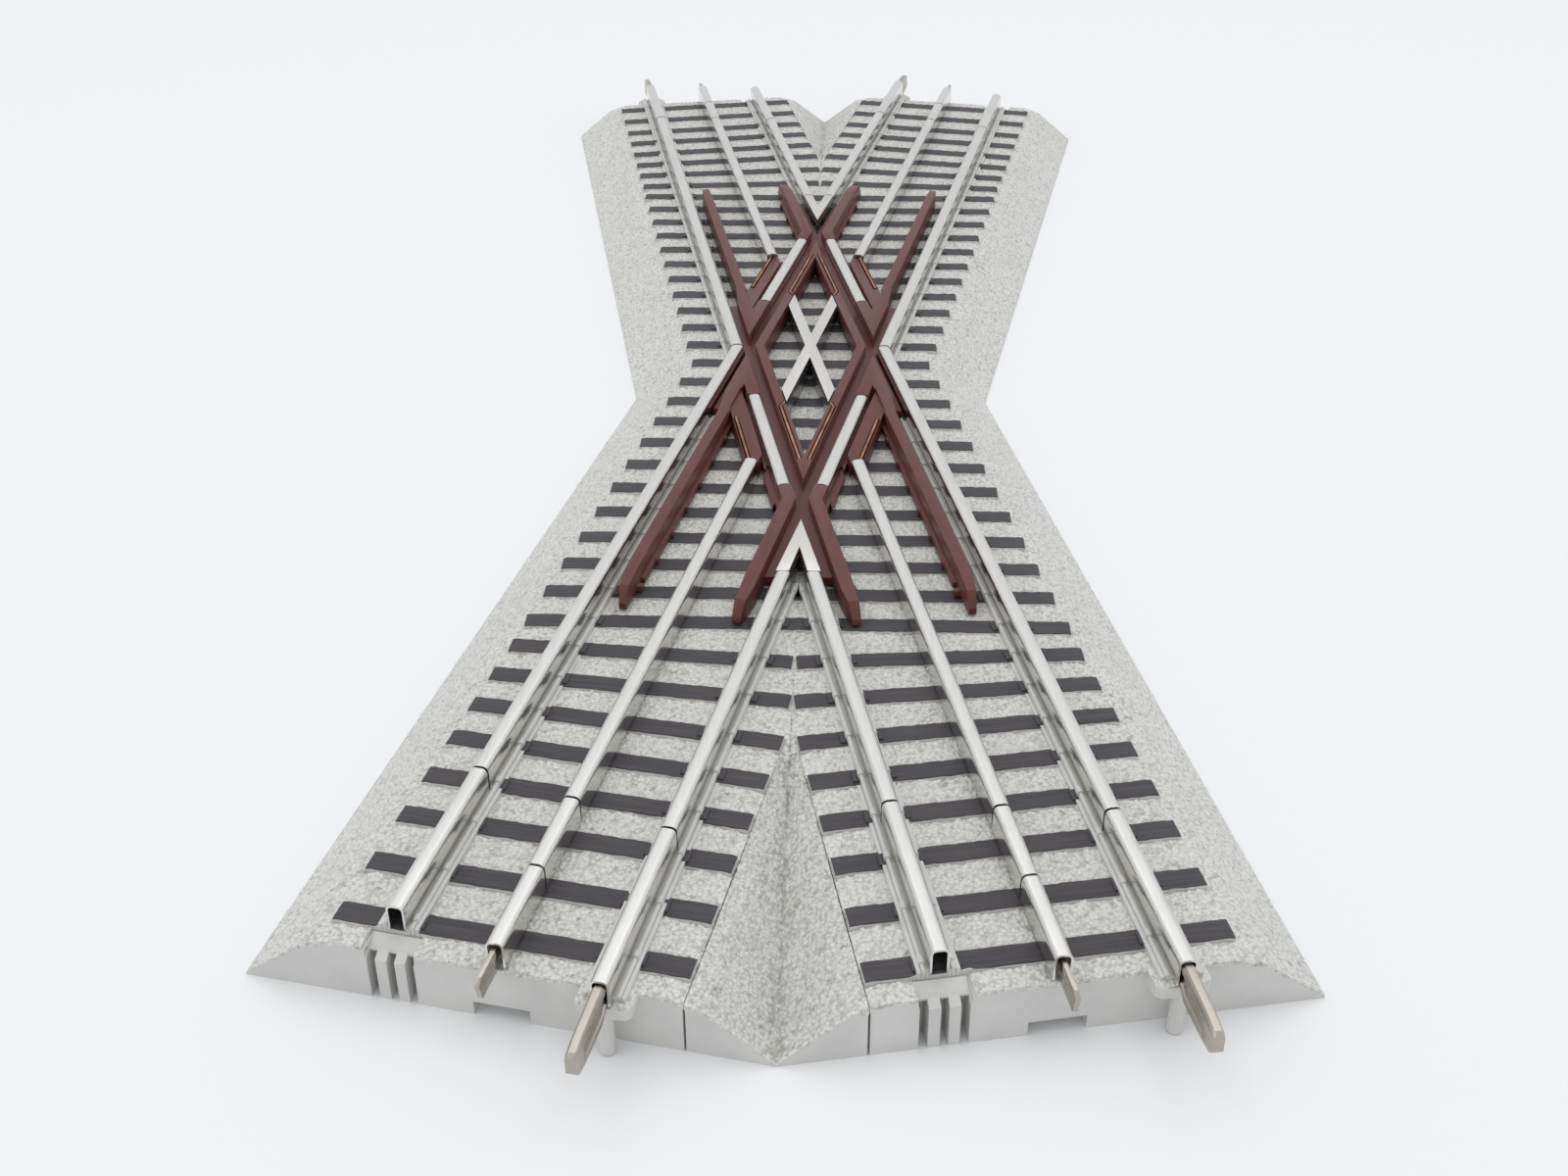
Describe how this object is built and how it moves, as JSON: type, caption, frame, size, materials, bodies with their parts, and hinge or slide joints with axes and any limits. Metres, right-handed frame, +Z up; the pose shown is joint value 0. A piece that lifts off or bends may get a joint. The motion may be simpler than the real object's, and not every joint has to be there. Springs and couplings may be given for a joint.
{
  "type": "model railway diamond crossing",
  "caption": "O gauge diamond crossing on moulded ballast roadbed, where tracks cross at a shallow angle, with guard rails, a pick-up centre rail and push-on rail joiners.",
  "frame": {"origin": "underside of the roadbed, below the point where the two track centre lines cross", "axes": "+Z up, +Y midway between the two tracks along the crossing's length, +X to the right"},
  "size_m": [0.1646, 0.455, 0.0153],
  "materials": {
    "ballast": "textured",
    "rail_sheet": "satin nickel plate",
    "cast_metal": "satin, warm off-white",
    "brown_moulding": "satin",
    "copper": "bare copper"
  },
  "bodies": {
    "crossing": {"centre_crossing_casting": "cast_metal", "centre_feed_strap": "copper", "crossing_insert": "brown_moulding", "far_frog_point": "cast_metal", "far_left_centre_blade": "cast_metal", "far_left_centre_rail": "rail_sheet", "far_left_centre_rail_end": "rail_sheet", "far_left_centre_rail_link": "rail_sheet", "far_left_diamond_rail": "rail_sheet", "far_left_guard_contact": "copper", "far_left_joiner_pin": "cast_metal", "far_left_pin_rail": "rail_sheet", "far_left_pin_rail_end": "rail_sheet", "far_left_ramp_contact": "copper", "far_left_socket_rail": "rail_sheet", "far_left_socket_rail_end": "rail_sheet", "far_right_centre_blade": "cast_metal", "far_right_centre_rail": "rail_sheet", "far_right_centre_rail_end": "rail_sheet", "far_right_centre_rail_link": "rail_sheet", "far_right_diamond_rail": "rail_sheet", "far_right_guard_contact": "copper", "far_right_joiner_pin": "cast_metal", "far_right_pin_rail": "rail_sheet", "far_right_pin_rail_end": "rail_sheet", "far_right_ramp_contact": "copper", "far_right_socket_rail": "rail_sheet", "far_right_socket_rail_end": "rail_sheet", "left_return_strap": "copper", "near_frog_point": "cast_metal", "near_left_centre_blade": "cast_metal", "near_left_centre_rail": "rail_sheet", "near_left_centre_rail_end": "rail_sheet", "near_left_centre_rail_link": "rail_sheet", "near_left_diamond_rail": "rail_sheet", "near_left_guard_contact": "copper", "near_left_joiner_pin": "cast_metal", "near_left_pin_rail": "rail_sheet", "near_left_pin_rail_end": "rail_sheet", "near_left_ramp_contact": "copper", "near_left_socket_rail": "rail_sheet", "near_left_socket_rail_end": "rail_sheet", "near_right_centre_blade": "cast_metal", "near_right_centre_rail": "rail_sheet", "near_right_centre_rail_end": "rail_sheet", "near_right_centre_rail_link": "rail_sheet", "near_right_diamond_rail": "rail_sheet", "near_right_guard_contact": "copper", "near_right_joiner_pin": "cast_metal", "near_right_pin_rail": "rail_sheet", "near_right_pin_rail_end": "rail_sheet", "near_right_ramp_contact": "copper", "near_right_socket_rail": "rail_sheet", "near_right_socket_rail_end": "rail_sheet", "right_return_strap": "copper", "roadbed": "ballast"},
    "near_filler": {"near_ballast_filler": "ballast"},
    "far_filler": {"far_ballast_filler": "ballast"}
  },
  "joints": [
    {"name": "near_filler_slide", "type": "slide", "parent": "crossing", "child": "near_filler", "axis": [0, -1, 0], "range_m": [0, 0.07]},
    {"name": "far_filler_slide", "type": "slide", "parent": "crossing", "child": "far_filler", "axis": [0, 1, 0], "range_m": [0, 0.07]}
  ]
}
